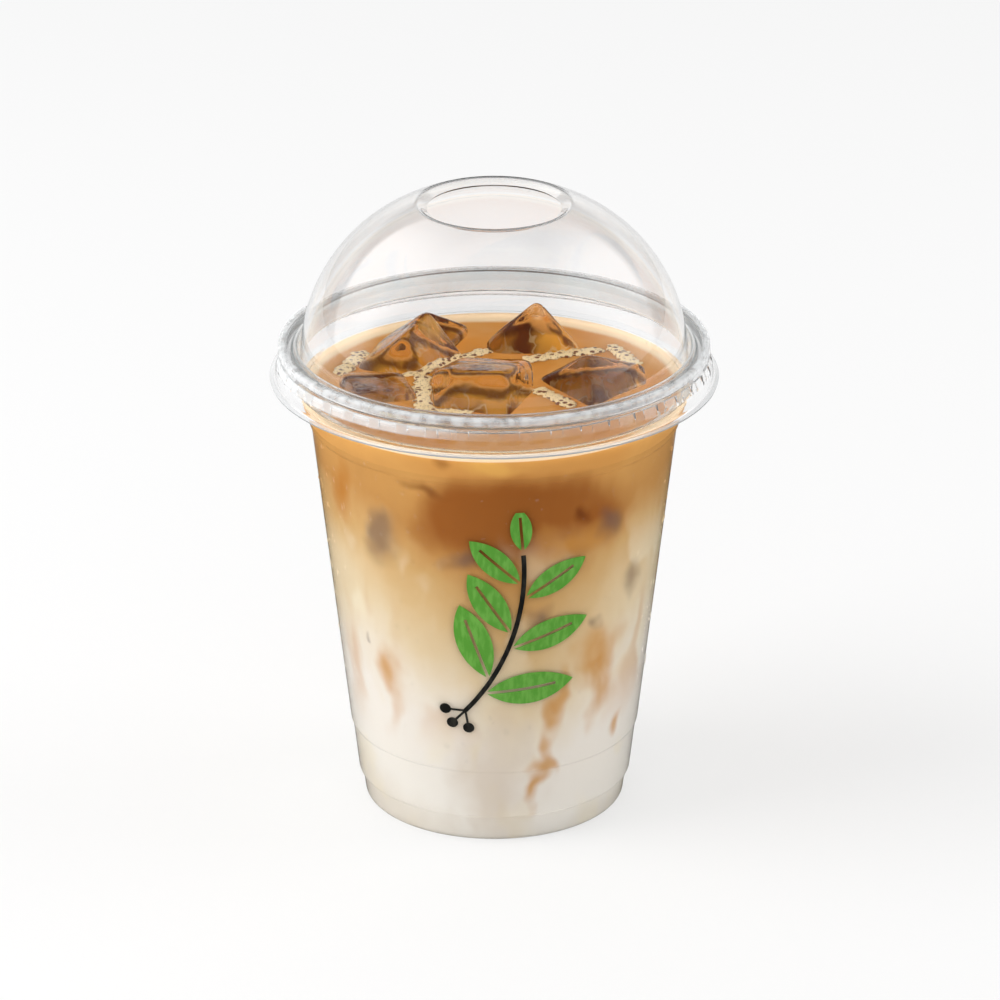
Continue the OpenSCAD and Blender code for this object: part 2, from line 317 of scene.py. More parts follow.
@dataclass(frozen=True)
class MilkAndHighlightFinish(ClearFinish):
    """Clear sheet with matt white over it: a painted highlight on the bead's outer face and on the
    pressed-in lugs, those on the left, towards the key lamp, most; milkiness with a painted highlight
    on the flange; a faint milkiness on the skirt. Sizes are in mm, and the shares are of white."""

    bead_in_r: float = 45.4
    bead_face_r: float = 48.8
    bead_low: float = 112.2
    bead_highlight: float = 0.4
    skirt_r: float = 49.83
    skirt_top: float = 110.85
    skirt_lean: float = 0.183
    skirt_milk: float = 0.02
    flange_r: float = 51.2
    flange_milk_and_highlight: float = 0.3
    lug_in_r: float = 47.4
    lug_low: float = 108.3
    lug_highlight: float = 0.1
    left_lug_highlight: float = 0.5
    left_x: float = -26.0
    white: Colour = (0.93, 0.94, 0.95, 1)

    def dressed(self, sheet: ShaderSheet, glass: Wire) -> Wire:
        """A share of matt white over the glass, by radius and height: painted highlights and milkiness."""
        x, y, z = sheet.axes()
        r = (x * x + y * y) ** 0.5
        depth = (self.skirt_top - z) * self.skirt_lean + self.skirt_r - r
        # Painted highlight on the pressed-in lugs, strongest on the left, towards the key lamp.
        lug = depth.rise(0.2, 0.5) * z.rise(self.lug_low - 0.2, self.lug_low + 0.3)
        lug = lug * z.rise(self.skirt_top + 0.1, self.skirt_top - 0.2)
        lug = lug * r.rise(self.lug_in_r - 0.8, self.lug_in_r)
        lug = lug * (x.rise(0, self.left_x) * self.left_lug_highlight + self.lug_highlight)
        # Painted highlight on the bead's outer face, over a faint milkiness from the skirt outward.
        bead = z.rise(self.bead_low - 0.8, self.bead_low) * r.rise(self.bead_face_r - 1.2, self.bead_face_r)
        bead = (bead * self.bead_highlight + self.skirt_milk) * r.rise(self.bead_in_r - 1.0, self.bead_in_r)
        bead = bead * sheet.noise(400.0, 1.0).rise(0.1, 0.7)
        # Milkiness with a painted highlight round the flange's edge.
        flange = r.rise(self.flange_r - 0.5, self.flange_r) * self.flange_milk_and_highlight
        milk = sheet.add("ShaderNodeBsdfDiffuse", {}, {"Color": self.white})
        return sheet.blend(bead.at_least(flange) + lug, glass, milk)


# The wall's radius at height z is about WALL_FOOT_R + WALL_LEAN * z, in mm.
WALL_FOOT_R = 31.2
WALL_LEAN = 0.114
# Tones of the drink.
SUNK_ICE = (124, 98, 84)
BROWN = (120, 62, 26)
CARAMEL = (214, 152, 78)
DEEP_CARAMEL = (196, 122, 44)
# Painted shade: the warmer, darker milk low in the middle, where less light reaches it.
LOW_MIDDLE_SHADE = (204, 176, 144)
GOLD = (238, 182, 96)
CREAM = (250, 236, 206)
AMBER = (152, 80, 26)
CREMA = (208, 130, 44)
# The hollows' tones, the light one kept pale as painted light for the light that the milk scatters into the
# hollows round the ice.
HOLLOW_DARK = (138, 72, 14)
HOLLOW_LIGHT = (246, 180, 74)
# Painted highlight: thin pale veins in the hollows.
HOLLOW_HIGHLIGHT = (255, 226, 170)
# Partly clearer coffee, partly painted shade at the brim of the hollows.
HOLLOW_BRIM_COFFEE_AND_SHADE = (96, 46, 12)


@dataclass(frozen=True)
class Mark:
    """A soft patch of colour in the drink at the wall: its colour, where it is, in mm from the
    middle and from the floor, its half width and half height, its share, and whether it is at
    the back."""

    colour: Tone
    x: float
    z: float
    width: float
    height: float
    share: float = 0.7
    back: bool = False

    @property
    def y(self) -> float:
        """How far forward it lies on the wall."""
        depth = math.sqrt((WALL_FOOT_R + WALL_LEAN * self.z) ** 2 - self.x**2)
        return depth if self.back else -depth

    def over(self, sheet: ShaderSheet, tone: Wire, swirl: Wire, small: Wire) -> Wire:
        """The tone with the patch laid over it, its shape pushed about and its edge broken up."""
        size = [MM * w for w in (self.width, self.width * 1.4, self.height)]
        shift = tuple(-MM * c / w for c, w in zip((self.x, self.y, self.z), size))
        place = sheet.stretched(tuple(1 / w for w in size), shift, swirl)
        far = sheet.add("ShaderNodeVectorMath", {"operation": "LENGTH"}, {0: place}, "Value")
        return sheet.mix((far + small).rise(1.75, 0.6) * self.share, tone, plain(self.colour))


@dataclass(frozen=True)
class DrinkFinish(Finish):
    """Iced milk coffee: caramel on top, milk at the foot, and marbled where they meet."""

    name: str = "milk_drink"
    surface_z: float = 101.7
    tones: tuple = (
        (0.00, (240, 230, 216)), (0.10, (251, 244, 234)), (0.30, (250, 241, 230)),
        (0.40, (245, 231, 211)), (0.50, (236, 211, 172)), (0.60, (229, 195, 145)),
        (0.70, (219, 175, 116)), (0.80, (206, 150, 86)), (0.91, (220, 162, 92)),
        (1.00, (216, 154, 84)))
    scatter: Triple = (0.9, 0.9, 0.85)
    scatter_mm: float = 5.0
    marks: tuple = (
        (GOLD, (0, 98.9, 9, 3.2)),
        (CREAM, (-31.5, 57, 2.4, 6, 0.5), (-5.6, 25, 1.6, 5, 0.5)),
        (CARAMEL, (-24, 43, 3.6, 8, 0.8), (-23.2, 33, 2.6, 11, 0.35), (23.5, 46.5, 6, 10, 0.9),
         (23.8, 36, 3, 9), (15.4, 38, 2.2, 11, 0.8), (13.2, 29, 2.2, 12, 0.85),
         (11, 21.6, 3.4, 2.8, 0.8), (9.9, 15, 2, 10, 0.95), (28.4, 24.3, 1.5, 3), (18.3, 78, 9, 5)),
        # Painted shade low in the middle.
        (LOW_MIDDLE_SHADE, (1, 16, 12, 24, 0.4)),
        (DEEP_CARAMEL, (-34.6, 86, 3, 11)),
        (BROWN, (-11, 99.8, 3, 2.6, 0.6), (-15.6, 92, 6.6, 1.8, 0.6), (20.6, 85, 2.6, 2.8, 0.85)),
        (SUNK_ICE, (-26, 78.2, 5, 8.4), (-7.7, 75, 5.2, 3.8), (26.8, 80.3, 3.6, 5.8),
         (31.2, 64, 2.8, 5, 0.6), (23.4, 55.8, 2.8, 2.2), (9.5, 60.6, 2.8, 3),
         (-28.5, 49.8, 1, 1.2), (26, 76, 5, 7, 0.6, True), (-20, 84, 6, 3.5, 0.6, True),
         (3, 66, 4.6, 4.6, 0.6, True), (38, 82, 4, 6, 0.5, True), (-36, 70, 4, 5, 0.5, True)))

    def surface(self, sheet: ShaderSheet) -> Wire:
        """Colour by height, pushed up and down by noise and moved towards deeper tones in the middle and
        milk at the sides, partly as painted shade and painted light;
        then amber and cream clouds, with painted light as cream on the sides, coffee runs, the marks, among
        them a painted shade low in the middle, the top, and the hollows round the ice, lightened as painted
        light, with painted highlights and a painted shade at their brim."""
        x, y, z = sheet.axes()
        swirl = sheet.swirled(75.0, 0.011)
        big = sheet.noise(1.0, 1.0, sheet.stretched((36, 36, 24), vector=swirl))
        small = sheet.noise(1.0, 2.0, sheet.stretched((170, 170, 110)))
        cloud = sheet.noise(1.0, 2.0, sheet.stretched((70, 70, 40), (3, 1, 2), swirl))
        # Partly the drink's deeper colour in the middle, partly painted shade there and painted light
        # towards milk at the left and right sides.
        deep = x.near(5, 36) * 17.0 - 6.0
        level = (z + deep + (big - 0.5) * 20.0 + (small - 0.5) * 9.0) / self.surface_z
        tone = sheet.ramp(level, [(place, plain(colour)) for place, colour in self.tones])
        front = y.rise(0, -12)
        amber_x, amber_z = (x - 6) / 29.0, (z - 85) / 13.0
        amber = (amber_x * amber_x + amber_z * amber_z + (cloud - 0.5) * 1.1).rise(1.1, 0.3) * front
        behind = (big + cloud).rise(1.02, 1.2) * z.rise(62, 76) * z.rise(100, 92) * (1 - front)
        tone = sheet.mix(amber.at_least(behind) * 0.85, tone, plain(AMBER))
        # Painted light, partly the drink's cream: the left and right sides lighter towards cream; below
        # that, cream clouds of the drink.
        sides = x.size().rise(20, 38) * z.rise(44, 56) * z.rise(78, 64)
        pale = sides + cloud.rise(0.52, 0.64) * z.rise(84, 70)
        tone = sheet.mix(pale * 0.35, tone, plain(CREAM))
        run = sheet.noise(1.0, 1.0, sheet.stretched((90, 90, 26), (1, 4, 0), swirl))
        run = run.rise(0.5, 0.68) * z.rise(20, 40) * z.rise(72, 56)
        tone = sheet.mix(run * 0.4, tone, plain(CARAMEL))
        for colour, *rows in self.marks:
            for row in rows:
                tone = Mark(colour, *row).over(sheet, tone, swirl, small)
        r = (x * x + y * y) ** 0.5
        lid_side = z.rise(101.2, 101.5)
        tone = sheet.mix(lid_side * (cloud.rise(0.4, 0.6) * 0.4 + 0.35), tone, plain(CREMA))
        tone = sheet.mix(lid_side * r.rise(41.2, 43.2) * 0.6, tone, plain(CREAM))
        inside = (z * WALL_LEAN + WALL_FOOT_R - r).rise(0.9, 1.7) * z.rise(101.3, 100.2) * z.rise(80, 84)
        # Painted light: the hollows' walls go to pale tones, for the light that the milk scatters into
        # them.
        hollow = sheet.mix((cloud + small * 0.5).rise(0.62, 0.82), plain(HOLLOW_DARK), plain(HOLLOW_LIGHT))
        # Painted highlights: thin pale veins where the small noise is near its middle.
        hollow = sheet.mix((small - 0.5).size().rise(0.03, 0.0) * 0.6, hollow, plain(HOLLOW_HIGHLIGHT))
        # Partly the clearer coffee in the gap round the ice, partly painted shade in that gap at the
        # waterline.
        brim_coffee_and_shade = z.rise(97.8, 99.6) * small.rise(0.25, 0.45) * 0.85
        tone = sheet.mix(inside, tone, sheet.mix(brim_coffee_and_shade, hollow, plain(HOLLOW_BRIM_COFFEE_AND_SHADE)))
        return sheet.principled({"Base Color": tone, "Roughness": 0.3, "IOR": 1.36,
                                 "Specular IOR Level": 0.04, "Subsurface Weight": 1.0,
                                 "Subsurface Radius": self.scatter,
                                 "Subsurface Scale": self.scatter_mm * MM}, subsurface_method="BURLEY")


@dataclass(frozen=True)
class FrothFinish(Finish):
    """Cream froth with open bubbles in it."""

    name: str = "froth"
    bubble_scale: float = 620.0
    cream: Tone = (250, 218, 166)
    hole: Tone = (124, 66, 22)

    def surface(self, sheet: ShaderSheet) -> Wire:
        """Cream, with the dark middles of bubbles from Voronoi cells."""
        large, fine = (sheet.add("ShaderNodeTexVoronoi", {}, {
            "Vector": sheet.place(), "Scale": scale, "Randomness": 1.0}, "Distance")
            for scale in (self.bubble_scale, self.bubble_scale * 2.6))
        patch = sheet.noise(300.0, 2.0)
        hole = (large.rise(0.42, 0.3) * patch.rise(0.38, 0.46)).at_least(fine.rise(0.34, 0.24) * 0.7)
        return sheet.principled({"Base Color": sheet.mix(hole, plain(self.cream), plain(self.hole)),
                                 "Roughness": 0.35, "Normal": sheet.bump(hole, 0.12)})


@dataclass(frozen=True)
class InkFinish(Finish):
    """Ink printed on the plastic, a little uneven where it dried."""

    colour: Tone
    worn: Tone

    def surface(self, sheet: ShaderSheet) -> Wire:
        """Two close tones, mixed by fine streaks."""
        streaks = sheet.noise(1.0, 3.0, sheet.stretched((900, 900, 260)))
        colour = sheet.mix(streaks.rise(0.4, 0.66), plain(self.colour), plain(self.worn))
        return sheet.principled({"Base Color": colour, "Roughness": streaks * 0.3 + 0.3,
                                 "Normal": sheet.bump(streaks, 0.02)})


@dataclass(frozen=True)
class FloorFinish(Finish):
    """The studio's pale floor. Part of its white is its own, so that shadows on it stay soft.
    Lengths are in mm."""

    name: str = "studio_floor"
    own_white: float = 0.5
    own_strength: float = 1.035
    card_start: float = 160.0
    card_end: float = 400.0
    foot_start: float = 150.0
    foot_end: float = 260.0
    pale: tuple = ((0.84, 0.84, 0.84, 1), (0.85, 0.85, 0.85, 1))

    def surface(self, sheet: ShaderSheet) -> Wire:
        """A mix of plain white light and a white matt surface. Plastic mirrors a dark card in front
        of the cup and sees one through itself close to the foot, so that its colours stay deep."""
        colour = sheet.mix(sheet.noise(1.5, 1.0), *self.pale)
        matt = sheet.add("ShaderNodeBsdfDiffuse", {}, {"Color": colour})
        camera, glossy, through, thrown_back = sheet.rays(
            "Is Camera Ray", "Is Glossy Ray", "Is Transmission Ray", "Is Reflection Ray")
        x, y, _ = sheet.axes()
        mirrored = y.rise(self.card_end, self.card_start) * thrown_back * glossy
        seen = y.rise(20, -30) * ((x * x + y * y) ** 0.5).rise(self.foot_end, self.foot_start) * through
        card = mirrored.at_least(seen)
        glow = sheet.add("ShaderNodeEmission", {}, {"Color": WHITE, "Strength": self.own_strength - card})
        share = camera.at_least(glossy).at_least(through) * self.own_white
        return sheet.blend(share.at_least(card), matt, glow)


# Surfaces


def arc(centre: tuple[float, float], radius: float, start: float, end: float, steps: int) -> np.ndarray:
    """Points of an arc in a section.

    Formula: centre + radius * (cos a, sin a), with a from start to end in equal steps.

    Args:
        centre: its middle, in mm.
        radius: in mm.
        start: first angle, in degrees.
        end: last angle, in degrees.
        steps: number of steps.

    Returns:
        An array of steps + 1 points.
    """
    angle = np.radians(np.linspace(start, end, steps + 1))
    return np.array(centre) + radius * np.stack([np.cos(angle), np.sin(angle)], -1)


def unit(vectors: np.ndarray) -> np.ndarray:
    """Vectors of length 1 along the given ones."""
    return vectors / np.linalg.norm(vectors, axis=-1, keepdims=True)


def rounded(corners: np.ndarray, setback: np.ndarray, steps: int = 4) -> np.ndarray:
    """Rounds the corners of a path.

    Formula: a corner P between the directions a and b becomes the parabola through P - t a and
    P + t b that P pulls, with one more point at 1.6 t on each side, which keeps the legs flat.

    Args:
        corners: the path, in mm.
        setback: t for each corner, 0 where it stays sharp.
        steps: steps along each parabola.

    Returns:
        The rounded path.
    """
    s = np.linspace(0, 1, steps + 1)[:, None]
    path = []
    for i, (corner, t) in enumerate(zip(corners, setback)):
        if t == 0:
            path.append(corner[None])
            continue
        a, b = unit(corner - corners[i - 1]), unit(corners[i + 1] - corner)
        low, high = corner - a * t, corner + b * t
        path += [(corner - a * 1.6 * t)[None], (1 - s) ** 2 * low + 2 * s * (1 - s) * corner + s**2 * high,
                 (corner + b * 1.6 * t)[None]]
    return np.concatenate(path)


def beside(path: np.ndarray, distance: float) -> np.ndarray:
    """The path moved to its left, with mitred corners.

    Formula: point + distance * left(a + b) / (1 + a.b), with a and b the directions before and
    after the point.
    """
    run = unit(np.diff(path, axis=0))
    a, b = np.vstack([run[:1], run]), np.vstack([run, run[-1:]])
    both = a + b
    return path + distance * np.stack([-both[:, 1], both[:, 0]], -1) / (1 + (a * b).sum(-1))[:, None]


def turned(profile: np.ndarray, angles: np.ndarray, dent: np.ndarray | float = 0.0) -> np.ndarray:
    """A profile turned round the axis.

    Formula: (R cos a, R sin a, z), with R the profile's radius less the dent at that place.

    Args:
        profile: radius and height of each row, in mm.
        angles: the columns' angles, in radians.
        dent: how far each point lies inside the round shape, in mm, as rows by columns.

    Returns:
        Points as rows by columns by 3.
    """
    radius = profile[:, :1] - dent
    height = np.broadcast_to(profile[:, 1:], (len(profile), len(angles)))
    return np.stack([radius * np.cos(angles), radius * np.sin(angles), height], -1)


def grid_faces(rows: int, columns: int, close_rows: bool = False, close_columns: bool = True) -> np.ndarray:
    """Quads between the neighbouring points of a grid, as rows of four point numbers."""
    i, j = np.meshgrid(np.arange(rows if close_rows else rows - 1),
                       np.arange(columns if close_columns else columns - 1), indexing="ij")
    i, j = i.ravel(), j.ravel()
    up, on = (i + 1) % rows, (j + 1) % columns
    return np.stack([i * columns + j, i * columns + on, up * columns + on, up * columns + j], -1)


def round_angles(count: int) -> np.ndarray:
    """Equal angles once round, in radians."""
    return np.arange(count) * 2 * np.pi / count


def polar(radius: float, bearing: float, height: float) -> np.ndarray:
    """A point by its radius, its bearing from +X in degrees and its height."""
    angle = math.radians(bearing)
    return np.array([radius * math.cos(angle), radius * math.sin(angle), height])


def weld_and_face(mesh: bpy.types.Mesh, closed: bool) -> None:
    """Joins points that coincide, drops faces without area, and turns a closed shell's faces out.

    Args:
        mesh: the mesh to change.
        closed: whether it is a closed shell, whose signed volume tells which way it faces.
    """
    shell = bmesh.new()
    shell.from_mesh(mesh)
    bmesh.ops.remove_doubles(shell, verts=shell.verts, dist=2e-7)
    bmesh.ops.dissolve_degenerate(shell, edges=shell.edges, dist=1e-8)
    if closed and shell.calc_volume(signed=True) < 0:
        bmesh.ops.reverse_faces(shell, faces=shell.faces)
    shell.to_mesh(mesh)
    shell.free()


def placed(name: str, data: bpy.types.ID) -> bpy.types.Object:
    """A new object of the scene, at the origin."""
    obj = bpy.data.objects.new(name, data)
    bpy.context.scene.collection.objects.link(obj)
    return obj


def shell_mesh(name: str, points: np.ndarray, faces: np.ndarray, closed: bool = True) -> bpy.types.Mesh:
    """A welded mesh of points in mm, in any grid, and rows of point numbers."""
    mesh = bpy.data.meshes.new(name)
    mesh.from_pydata((points.reshape(-1, 3) * MM).tolist(), [], faces.tolist())
    weld_and_face(mesh, closed)
    return mesh


def coat(mesh: bpy.types.Mesh, material: bpy.types.Material) -> None:
    """Makes the material the mesh's only one."""
    mesh.materials.clear()
    mesh.materials.append(material)


@dataclass(frozen=True)
class Piece:
    """Where a new piece belongs: its name, body, slot and the CAD nodes that it stands for."""

    name: str
    body: Body
    slot: Slot
    stands_for: tuple[str, ...] = ()

    def make(self, points: np.ndarray, faces: np.ndarray, material: bpy.types.Material,
             crease: float = 38.0, closed: bool = True) -> bpy.types.Object:
        """Makes the piece and rides it on its body.

        Args:
            points: its points in mm, in any grid.
            faces: rows of point numbers.
            material: its finish.
            crease: edges sharper than this many degrees stay sharp.
            closed: whether it is a closed shell.

        Returns:
            The object, at the origin.
        """
        mesh = shell_mesh(self.name, points, faces, closed)
        coat(mesh, material)
        mesh.shade_smooth()
        mesh.set_sharp_from_angle(angle=math.radians(crease))
        obj = placed(self.name, mesh)
        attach(obj, self.body.value)
        if self.stands_for:
            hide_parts(*self.stands_for)
        LOG.info("%s: %d faces on body %s", self.name, len(mesh.polygons), self.body.value)
        return obj


# The cup


@dataclass
class Cup:
    """The cup, formed from one sheet: push-up base, ledges, stacking ledge and rolled rim."""

    height: float = 112.8
    mouth_r: float = 46.35
    foot_r: float = 30.6
    wall: float = 0.45
    roll_r: float = 1.2
    roll_deg: float = 255.0
    foot_edge_r: float = 1.0
    stand_w: float = 3.0
    push_up: float = 4.0
    push_up_slope: float = 3.0
    ledge_h: float = 0.6
    ledges: tuple = ((6.0, 0.75), (18.6, 0.35), (94.2, 0.45), (103.4, 1.9))
    columns: int = 224

    @property
    def rim_z(self) -> float:
        """Height of the rolled rim's middle."""
        return self.height - self.roll_r

    @property
    def draft(self) -> float:
        """Lean of the wall, as radius gained for each mm of height."""
        steps = sum(width for _, width in self.ledges)
        return (self.mouth_r + self.wall - self.foot_r - steps) / self.rim_z

    def wall_r(self, z: float, ledges_below: int) -> float:
        """Radius outside the wall at height z, above so many ledges."""
        return self.foot_r + self.draft * z + sum(width for _, width in self.ledges[:ledges_below])

    def outside(self) -> np.ndarray:
        """The outside of the sheet, from the middle of the base to the start of the rim's roll."""
        stand = self.foot_r - self.foot_edge_r
        lean = math.degrees(math.atan(self.draft))
        corners = [[0, self.push_up], [stand - self.stand_w - self.push_up_slope, self.push_up],
                   [stand - self.stand_w, 0]]
        setback = [0, 1.1, 0.5]
        foot = arc((stand, self.foot_edge_r), self.foot_edge_r, -90, -lean, 6)
        corners += foot.tolist()
        setback += [0] * len(foot)
        for count, (z, _) in enumerate(self.ledges):
            for up in (0, 1):
                top = z + up * self.ledge_h
                corners.append([self.wall_r(top, count + up), top])
                setback.append(0.19)
        corners.append([self.wall_r(self.rim_z, len(self.ledges)), self.rim_z])
        return rounded(np.array(corners, float), np.array(setback + [0]))

    def rim_roll(self) -> np.ndarray:
        """The inside of the rolled rim, which carries on from the wall's outside."""
        lean = math.degrees(math.atan(self.draft))
        start = 180 - lean
        return arc((self.mouth_r + self.roll_r, self.rim_z), self.roll_r - self.wall,
                   start, start - self.roll_deg, 20)[1:]

    def build(self) -> None:
        """Turns the sheet's path and its copy beside it round the axis."""
        path = np.concatenate([self.outside(), self.rim_roll()])
        profile = np.concatenate([path, beside(path, self.wall)[::-1]])
        profile[:, 0] = np.maximum(profile[:, 0], 0)
        points = turned(profile, round_angles(self.columns))
        finish = ClearFinish("cup_plastic", ior=1.57, shade=(0.94, 0.95, 0.95, 1), wave_scale=50.0)
        Piece("cup_shell", Body.CUP, Slot.CUP_PLASTIC, ("cup",)).make(
            points, grid_faces(*points.shape[:2]), finish.build())


# The lid


@dataclass
class Lid:
    """The domed lid, formed from one sheet, with a ring of lugs pressed into its skirt."""

    cup: Cup
    wall: float = 0.45
    bead_gap: float = 0.2
    plug_gap: float = 0.12
    plug_depth: float = 4.6
    valley_w: float = 0.6
    bead_edge_r: float = 1.0
    bead_side: float = 1.08
    bead_h: float = 2.6
    dome_side_r: float = 40.0
    crown_w: float = 4.02
    hole_r: float = 15.45
    lip_w: float = 2.25
    lip_dip: float = 1.45
    skirt_h: float = 5.2
    skirt_flare: float = 0.95
    flange_w: float = 1.1
    flange_drop: float = 0.35
    lugs: int = 44
    lug_w: float = 4.5
    lug_h: float = 2.35
    lug_gap: float = 0.15

    def __post_init__(self) -> None:
        """Works out the places that follow from the sizes."""
        cup = self.cup
        rim_out_r = cup.mouth_r + 2 * cup.roll_r
        self.bead_top = cup.height + self.bead_gap + self.wall
        valley_z = self.bead_top - self.plug_depth
        plug_r = cup.mouth_r - cup.draft * (cup.rim_z - valley_z + self.wall) - self.plug_gap
        self.dome_r = plug_r - self.wall - self.valley_w
        self.valley_c = (self.dome_r + self.valley_w / 2, valley_z + self.valley_w / 2)
        self.bead_out_r = rim_out_r + self.bead_side
        self.crease_z = self.bead_top - self.bead_h
        self.lug_r = rim_out_r + self.lug_gap
        self.lug_top = self.crease_z - self.wall / 2

    def skirt_r(self, z: np.ndarray | float) -> np.ndarray | float:
        """Radius outside the skirt at height z."""
        return self.bead_out_r + self.skirt_flare * (self.crease_z - z) / self.skirt_h

    def dome(self) -> np.ndarray:
        """The dome's outside from the hole's edge to the valley: lip, crown arc and side arc."""
        side_x = self.dome_r - self.dome_side_r
        crest_r = self.hole_r + self.lip_w
        side_deg = math.degrees(math.acos((crest_r + self.crown_w - side_x) / self.dome_side_r))
        crown_r = self.dome_side_r + side_x / math.cos(math.radians(side_deg))
        crown = (0.0, self.valley_c[1] - side_x * math.tan(math.radians(side_deg)))
        crest_deg = math.degrees(math.acos(crest_r / crown_r))
        arch = arc(crown, crown_r, crest_deg, side_deg, 5)
        edge = np.array([[self.hole_r, arch[0, 1] - self.lip_dip]])
        lip = rounded(np.concatenate([edge, arch[:1], arch[2:3]]), np.array([0, 0.75, 0]), 5)[:-1]
        side = arc((side_x, self.valley_c[1]), self.dome_side_r, side_deg, 0, 26)[1:]
        return np.concatenate([lip, arch[2:], side])

    def rows(self) -> np.ndarray:
        """The outside of the sheet, from the hole's edge to the flange."""
        edge_r, top = self.bead_edge_r, self.bead_top
        bead = np.concatenate([
            arc(self.valley_c, self.valley_w / 2, 180, 360, 8)[1:],
            [[self.dome_r + self.valley_w, top - edge_r - 0.3]],
            arc((self.dome_r + self.valley_w + edge_r, top - edge_r), edge_r, 180, 90, 6),
            arc((self.bead_out_r - edge_r, top - edge_r), edge_r, 90, 0, 6),
            [[self.bead_out_r, self.crease_z + 0.5], [self.bead_out_r, self.crease_z + 0.12]]])
        drops = np.array([-0.04, 0.04, 0.6, 1.2, 1.8, 2.25, self.lug_h + 0.05, 3.2, 4.3])
        heights = np.concatenate([[self.crease_z - 0.06], self.lug_top - drops])
        skirt = np.stack([self.skirt_r(heights), heights], -1)
        foot_z = self.crease_z - self.skirt_h
        foot = np.array([skirt[-1], [self.skirt_r(foot_z), foot_z],
                         [self.skirt_r(foot_z) + self.flange_w, foot_z - self.flange_drop]])
        return np.concatenate([self.dome(), bead, skirt, rounded(foot, np.array([0, 0.3, 0]))[1:]])

    def lug_ramp(self, z: np.ndarray) -> np.ndarray:
        """How deep a lug is pressed in at height z.

        Formula: the skirt's radius less the ramp's, which runs in a straight line from the lug's
        top, at the lug's clearance and wall, to the skirt at the lug's foot.
        """
        foot = self.lug_top - self.lug_h
        share = np.clip((self.lug_top - z) / self.lug_h, 0, 1)
        ramp = (1 - share) * (self.lug_r + self.wall) + share * self.skirt_r(foot)
        inside = (z < self.lug_top) & (z > foot)
        return np.where(inside, self.skirt_r(z) - ramp, 0)

    def build(self) -> None:
        """Turns the sheet round the axis, with each lug as a dent of the skirt's rows."""
        path = self.rows()
        profile = np.concatenate([path, beside(path, -self.wall)[::-1]])
        depth = self.lug_ramp(path[:, 1]) * (path[:, 0] > self.bead_out_r - 0.01)
        half = self.lug_w / self.skirt_r(self.lug_top - self.lug_h) * self.lugs / (4 * math.pi)
        steps = np.array([0.0, 0.09, 0.5 - half, 0.5 - half + 0.022, 0.34, 0.5, 0.66, 0.5 + half - 0.022,
                          0.5 + half, 0.91])
        pressed = np.array([0, 0, 0, 1, 1, 1, 1, 1, 0, 0])
        angles = ((np.arange(self.lugs)[:, None] + steps) * 2 * math.pi / self.lugs).ravel()
        dent = np.concatenate([depth, depth[::-1]])[:, None] * np.tile(pressed, self.lugs)[None]
        points = turned(profile, angles, dent)
        finish = MilkAndHighlightFinish("lid_plastic", ior=1.57, shade=(0.93, 0.94, 0.94, 1), wave_scale=30.0)
        Piece("domed_lid", Body.LID, Slot.LID_PLASTIC, ("lid",)).make(
            points, grid_faces(*points.shape[:2], close_rows=True), finish.build())


# Ice


@dataclass(frozen=True)
class Block:
    """One ice block: bearing, inset from the wall and rise above the drink's surface, both in
    sides of a large block, its own side in the same measure, and its turn about X, Y and Z."""

    name: str
    bearing: float
    inset: float
    rise: float
    side: float
    turn: Triple


